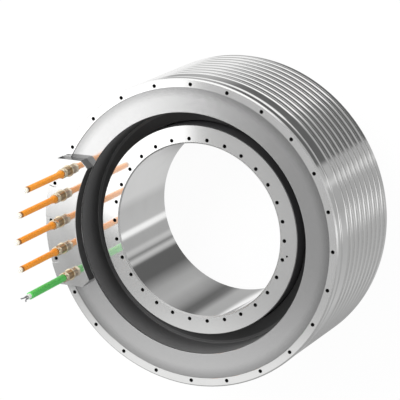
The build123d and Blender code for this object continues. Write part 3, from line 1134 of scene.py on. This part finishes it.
class MOTOR_OT_power_cables(bpy.types.Operator):
    """Lay the four power cables, with their sleeves and bare cores"""

    bl_idname = "motor.power_cables"
    bl_label = "Power cables"

    def execute(self, context):
        sizes = context.scene.motor_cables
        colours = context.scene.motor_colours
        orange = colours.orange
        skin = material("orange_cable", cable_skin, orange, dimmed(orange, 0.86))
        rubber = material("orange_sleeve", cable_skin, dimmed(orange, 0.93), dimmed(orange, 0.72), 0.30)
        layers = [
            material("cream_core", plain_plastic, colours.cream),
            material("tape_layer", plain_plastic, colours.tape_and_shade, 0.6),
            material("tinned_strands", plain_plastic, colours.tin, 0.3),
        ]
        self.sleeves(sizes, rubber)
        sunk = 0.0015
        for name, number in enumerate(POWER_CABLES, 1):
            place = cable_place(sizes, number)
            core = self.core(sizes, place, f"power_core_{name}", layers)
            standing_cable(f"power_cable_run_{name}", place, SLEEVE_TOP, sunk, POWER_END,
                           sizes.power_diameter, skin, "orange_cable", f"power_cable_{name}")
        return {"FINISHED"}

    def sleeves(self, sizes, rubber):
        """The four moulded sleeves, each with a bulge above its foot."""
        foot = GLAND_TOP - 0.0012
        bulge_foot = foot + 0.0014
        bulge_height = 0.0062
        bulge = 0.00058
        steps = 8
        radius = sizes.sleeve_radius
        profile = [(radius - 0.0004, foot), (radius, foot + 0.0010)]
        for step in range(steps + 1):
            swell = bulge * math.sin(math.pi * step / steps)
            profile.append((radius + swell, bulge_foot + bulge_height * step / steps))
        profile += [
            (radius - 0.0002, SLEEVE_TOP - 0.0008),
            (radius - 0.0004, SLEEVE_TOP - 0.0001),
            (sizes.power_diameter / 2 - 0.0003, SLEEVE_TOP),
        ]
        bm = bmesh.new()
        for number in POWER_CABLES:
            turn(bm, profile, SLEEVE_STEPS, cable_place(sizes, number), caps=(0, -1))
        new_piece("sleeves_moulded", bm, [rubber], "stator", "orange_sleeve", "cable_sleeves")

    def core(self, sizes, place, name, layers):
        """The bare end of a power cable: a brown cone of tape that is also painted shade on the jacket's cut
        end, the insulated core and its strands of wire.
        """
        radius = sizes.power_diameter / 2
        core_radius = sizes.core_diameter / 2
        bare = core_radius - sizes.core_wall
        edge = 0.0005
        tip = 0.0003
        seat = CORE_END - sizes.strand_length
        bm = bmesh.new()
        # A brown cone over the jacket's cut end: tape, and painted shade on the cut end.
        with finish_number(bm, 1):
            turn(bm, [
                (radius - 0.0002, POWER_END - 0.0004),
                (radius - 0.0001, POWER_END + 0.0016),
                (core_radius + 0.0003, POWER_END + 0.0036),
                (core_radius - 0.0002, POWER_END + 0.0044),
            ], CORE_STEPS, place)
        turn(bm, [
            (core_radius, POWER_END + 0.0020),
            *arc((core_radius - edge, seat), edge, 0, 90, 3),
            (bare, seat + edge),
            (bare, seat),
        ], CORE_STEPS, place, caps=[-1])
        with finish_number(bm, 2):
            for ring_radius, strands in ((0.0, 1), (0.0010, 6), (0.0020, 12)):
                for number in range(strands):
                    offset = on_circle(ring_radius, 2 * math.pi * number / strands)
                    turn(bm, [
                        (sizes.strand_radius, seat),
                        (sizes.strand_radius, CORE_END - 0.0002),
                        (tip, CORE_END),
                    ], STRAND_STEPS, tuple(Vector(place) + Vector(offset)), caps=[-1])
        return new_piece(name, bm, layers, "stator", "cream_core", "power_cores")


class MOTOR_OT_sensor_cable(bpy.types.Operator):
    """Lay the green sensor cable, with its sheath and three thin leads"""

    bl_idname = "motor.sensor_cable"
    bl_label = "Sensor cable"

    def execute(self, context):
        sizes = context.scene.motor_cables
        colours = context.scene.motor_colours
        place = cable_place(sizes, SENSOR_CABLE)
        skin = material("green_cable", cable_skin, colours.green, dimmed(colours.green, 0.85))
        white = material("white_sheath", plain_plastic, colours.sheath)
        grey_skin = material("grey_lead", plain_plastic, colours.lead)
        radius = sizes.sheath_diameter / 2
        sunk = 0.0008
        bm = bmesh.new()
        turn(bm, [
            (radius, SENSOR_END - 0.001),
            (radius, SHEATH_END - 0.0004),
            (radius - 0.0004, SHEATH_END),
            (radius - 0.0009, SHEATH_END - 0.0003),
            (radius - 0.0010, SHEATH_END - 0.0012),
        ], CORE_STEPS, place, caps=(0, -1))
        sheath = new_piece("sheath_cut", bm, [white], "stator", "white_sheath", "sensor_sheath")
        leads = tube("leads_bent", self.lead_lines(place), sizes.lead_radius, grey_skin, "grey_lead",
                     "sensor_leads", steps=8, roundness=4)
        standing_cable("sensor_cable_run", place, GLAND_TOP, sunk, SENSOR_END, sizes.sensor_diameter,
                       skin, "green_cable", "sensor_cable")
        return {"FINISHED"}

    def lead_lines(self, place):
        """The lines of the three leads; each ends at its own spread and at its own share of their height."""
        ends = ((0.0046, 0.80), (0.0050, 0.58), (0.0044, 0.72))
        rise = LEADS_END - SHEATH_END
        lines = []
        for number, (spread, share) in enumerate(ends):
            line = []
            course = ((0.0018, -0.001), (0.0021, 0.30 * rise), (0.0030, 0.62 * rise), (spread, share * rise))
            for out, up in course:
                x, y = on_circle(out, 2 * math.pi * number / len(ends))
                line.append((place[0] + x, place[1] + y, SHEATH_END + up))
            lines.append(line)
        return lines


class MOTOR_OT_inner_parts(bpy.types.Operator):
    """Give the core, the windings, the magnets and their neighbours their finishes"""

    bl_idname = "motor.inner_parts"
    bl_label = "Inner parts"

    def execute(self, context):
        colours = context.scene.motor_colours
        finishes = {
            "laminations": material("laminations", stacked_sheets, colours.sheets),
            "copper": material("copper", wound_wire, colours.copper),
            "wedge_laminate": material("wedge_laminate", plain_plastic, colours.wedge, 0.55),
            "magnet": material("magnet", plated_metal, colours.magnet),
            "spacer_resin": material("spacer_resin", plain_plastic, colours.spacer),
            "bandage": material("bandage", plain_plastic, colours.bandage, 0.4),
        }
        for part in frame["record"]["subparts"]:
            if part["material_slot"] in finishes:
                mesh = frame["nodes"][part["node"]].data
                mesh.materials.clear()
                mesh.materials.append(finishes[part["material_slot"]])
        return {"FINISHED"}


# Studio panels round the motor, as polished metal mirrors them: places in degrees, and how bright each is.
# The outside mirrors the low ones, the bore those just above them, and chamfers those of the wall.
LOW_PANELS = (
    (0, 0.46), (20, 0.33), (35, 0.34), (70, 0.55), (100, 0.48), (118, 0.46), (127, 0.54), (132, 0.50),
    (142, 0.42), (160, 0.43), (164, 0.68), (168, 0.50), (178, 0.44), (181, 0.13), (255, 0.13), (268, 0.18),
    (280, 0.36), (296, 0.50), (312, 0.46), (324, 0.40), (334, 0.95), (352, 0.95),
)

BORE_PANELS = (
    (0, 0.50), (45, 0.65), (94, 0.65), (108, 0.50), (135, 0.52), (139, 1.00), (143, 1.00), (147, 0.41),
    (160, 0.40), (164, 0.58), (168, 0.50), (171, 0.19), (176, 0.58), (179, 0.50), (183, 0.12), (204, 0.12),
    (223, 0.40), (240, 0.46), (258, 0.32), (272, 0.13), (281, 0.15), (293, 0.43), (316, 0.42), (328, 0.95),
    (352, 0.95),
)

WALL_PANELS = (
    (0, 0.32), (133, 0.36), (139, 1.10), (146, 1.10), (150, 0.38), (163, 0.38), (166, 0.85), (170, 0.85),
    (173, 0.30), (178, 0.15), (211, 0.20), (215, 1.05), (335, 1.05), (350, 0.80),
)

# The panels' places count from PANEL_START, an angle from the X axis. Each pair below is where an edge
# between panels starts and ends, as the height of a ray's direction: -1 is straight down and 1 straight up.
PANEL_START = math.radians(31.2)
BORE_EDGE = (-0.877, -0.870)
WALL_EDGE = (-0.80, -0.55)
CEILING_EDGE = (0.25, 0.42)
CEILING_LIGHT = 0.42
TOP_EDGE = (0.93, 0.98)
TOP_LIGHT = 0.62

# The card that the level faces mirror, on a plane one metre up. Places are metres from its middle, and
# each pair is where an edge starts and ends.
CARD_MIDDLE = (0.478, 0.3045)
CARD_LIGHT = 0.19
CARD_EDGE = (0.12, 0.35)
LOWEST_RAY = 0.05
STRIP_EDGE = (0.028, 0.064)
STRIP_LIGHT = 0.48
STRIP_SHIFT = 0.004
SIDE_EDGE = (0.050, 0.062)
SIDE_END = (0.030, 0.038)
SIDE_LIGHT = 0.13
CORNER_EDGE = (-0.001, 0.007)
CORNER_END = (-0.005, 0.004)
CORNER_PIVOT = 0.044
CORNER_SLANT = 0.15
CORNER_LIGHT = 1.2


class MOTOR_OT_studio(bpy.types.Operator):
    """Set the pale floor, the soft light and the camera"""

    bl_idname = "motor.studio"
    bl_label = "Studio"

    def execute(self, context):
        settings = context.scene.motor_studio
        self.surroundings(context, settings)
        self.lamp(context, settings)
        self.floor(context)
        self.camera(context, settings)
        context.scene.view_settings.view_transform = "Standard"
        return {"FINISHED"}

    def surroundings(self, context, settings):
        """A white ground for the camera, what polished metal mirrors, and even light for all else."""
        world = bpy.data.worlds.new("studio")
        context.scene.world = world
        world.use_nodes = True
        sky = Finish(world.node_tree)
        x, y, z = sky.parts(sky.node("ShaderNodeTexCoord", out="Generated"))
        panels = self.panels(sky, x, y, z)
        card, away = self.card(sky, x, y, z)
        mirrored = sky.mixed(sky.between(away, *CARD_EDGE), card, panels)
        mirrored = sky.mixed(sky.between(z, *TOP_EDGE), mirrored, grey(TOP_LIGHT))
        seen, glossy = sky.rays()
        colour = sky.mixed(seen, sky.mixed(glossy, grey(settings.fill), mirrored), grey(1.0))
        background = sky.node("ShaderNodeBackground", sockets={"Color": colour, "Strength": 1.0})
        sky.node("ShaderNodeOutputWorld", sockets={"Surface": background})

    def panels(self, sky, x, y, z):
        """The panels that stand round the motor, and the pale ceiling over them."""
        rise = y * math.cos(PANEL_START) - x * math.sin(PANEL_START)
        across = x * math.cos(PANEL_START) + y * math.sin(PANEL_START)
        turned = (rise.rise_over(across) / (2 * math.pi) + 1.0).fraction()
        low, bore, wall = (sky.node("ShaderNodeValToRGB", {"stops": stops}, {0: turned})
                           for stops in (LOW_PANELS, BORE_PANELS, WALL_PANELS))
        below = sky.mixed(sky.between(z, *BORE_EDGE), low, bore)
        level = sky.mixed(sky.between(z, *WALL_EDGE), below, wall)
        return sky.mixed(1.0, level, sky.between(z, *CEILING_EDGE) * CEILING_LIGHT, "LIGHTEN")

    def card(self, sky, x, y, z):
        """A grey card with a lit strip, side and corner, and how far from its middle a ray meets it."""
        steep = z.at_least(LOWEST_RAY)
        across = x / steep - CARD_MIDDLE[0]
        along = y / steep - CARD_MIDDLE[1]
        slanted = along + (across - CORNER_PIVOT) * CORNER_SLANT
        beside = sky.between(across, *SIDE_EDGE)
        strip_light = sky.between(along, STRIP_EDGE[0] + beside * STRIP_SHIFT, STRIP_EDGE[1]) * STRIP_LIGHT
        side_light = beside * sky.between(along, *SIDE_END, SIDE_LIGHT, 0.0)
        corner = sky.between(across, *CORNER_EDGE) * (1 - sky.between(slanted, *CORNER_END))
        card = CARD_LIGHT + strip_light + side_light + corner * CORNER_LIGHT
        return card, (across * across + along * along) ** 0.5

    def lamp(self, context, settings):
        """One soft lamp, which polished metal doesn't mirror."""
        lamp = bpy.data.lights.new("soft_lamp", "AREA")
        lamp.shape = "DISK"
        lamp.size = settings.lamp_size
        lamp.energy = settings.lamp
        turned = Vector(settings.lamp_place).to_track_quat("Z", "Y")
        self.hold(context, "soft_lamp", lamp, settings.lamp_place, turned).visible_glossy = False

    def camera(self, context, settings):
        """The camera, where the picture is taken from."""
        camera = bpy.data.cameras.new("camera")
        camera.lens = settings.focal_length
        camera.sensor_width = 36.0
        turned = Quaternion(settings.camera_turn)
        context.scene.camera = self.hold(context, "camera", camera, settings.camera_place, turned)

    def hold(self, context, name, data, place, turned):
        """An object at a place, turned by a quaternion."""
        holder = bpy.data.objects.new(name, data)
        holder.location = place
        holder.rotation_mode = "QUATERNION"
        holder.rotation_quaternion = turned
        context.scene.collection.objects.link(holder)
        return holder

    def floor(self, context):
        """A wide pale floor that keeps the motor's shadow and that polished metal doesn't mirror."""
        gap = 0.0003
        around = 96
        radii = (0.02, 0.6, 3.0, 12.0)
        bm = bmesh.new()
        rings = [circle(bm, radius, -gap, around) for radius in radii]
        for first, second in zip(rings, rings[1:]):
            strip(bm, first, second)
        fill_face(bm, rings[0])
        mesh = bpy.data.meshes.new("floor")
        bm.to_mesh(mesh)
        bm.free()
        made = bpy.data.materials.new("pale_floor")
        made.use_nodes = True
        finish = Finish(made.node_tree)
        seen, glossy = finish.rays()
        pale = finish.node("ShaderNodeBsdfDiffuse", sockets={"Color": colour_of(grey(0.9))})
        white = finish.node("ShaderNodeEmission", sockets={"Color": colour_of(grey(1.0))})
        clear = finish.node("ShaderNodeBsdfTransparent")
        lit = finish.node("ShaderNodeMixShader", sockets={0: seen * 0.95, 1: pale, 2: white})
        shown = finish.node("ShaderNodeMixShader", sockets={0: glossy, 1: lit, 2: clear})
        finish.node("ShaderNodeOutputMaterial", sockets={"Surface": shown})
        mesh.materials.append(made)
        floor = bpy.data.objects.new("floor", mesh)
        context.scene.collection.objects.link(floor)


OPERATORS = (
    MOTOR_OT_studio,
    MOTOR_OT_power_cables,
    MOTOR_OT_sensor_cable,
    MOTOR_OT_jacket,
    MOTOR_OT_end_ring,
    MOTOR_OT_potting,
    MOTOR_OT_rotor,
    MOTOR_OT_cable_block,
    MOTOR_OT_glands,
    MOTOR_OT_inner_parts,
)


class MOTOR_PT_panel(bpy.types.Panel):
    """Lists the pieces of the motor and their sizes"""

    bl_idname = "MOTOR_PT_panel"
    bl_label = "Frameless motor"
    bl_space_type = "VIEW_3D"
    bl_region_type = "UI"
    bl_category = "Motor"

    def draw(self, context):
        for operator in OPERATORS:
            self.layout.operator(operator.bl_idname)
        for name, group in SETTINGS.items():
            box = self.layout.box()
            box.label(text=group.__doc__)
            for key in group.__annotations__:
                box.prop(getattr(context.scene, name), key)


def register():
    for name, group in SETTINGS.items():
        bpy.utils.register_class(group)
        setattr(bpy.types.Scene, name, bpy.props.PointerProperty(type=group))
    for operator in OPERATORS:
        bpy.utils.register_class(operator)
    bpy.utils.register_class(MOTOR_PT_panel)


def unregister():
    bpy.utils.unregister_class(MOTOR_PT_panel)
    for operator in reversed(OPERATORS):
        bpy.utils.unregister_class(operator)
    for name, group in SETTINGS.items():
        delattr(bpy.types.Scene, name)
        bpy.utils.unregister_class(group)


def main():
    register()
    for operator in OPERATORS:
        group, name = operator.bl_idname.split(".")
        getattr(getattr(bpy.ops, group), name)()


if __name__ == "__main__":
    main()
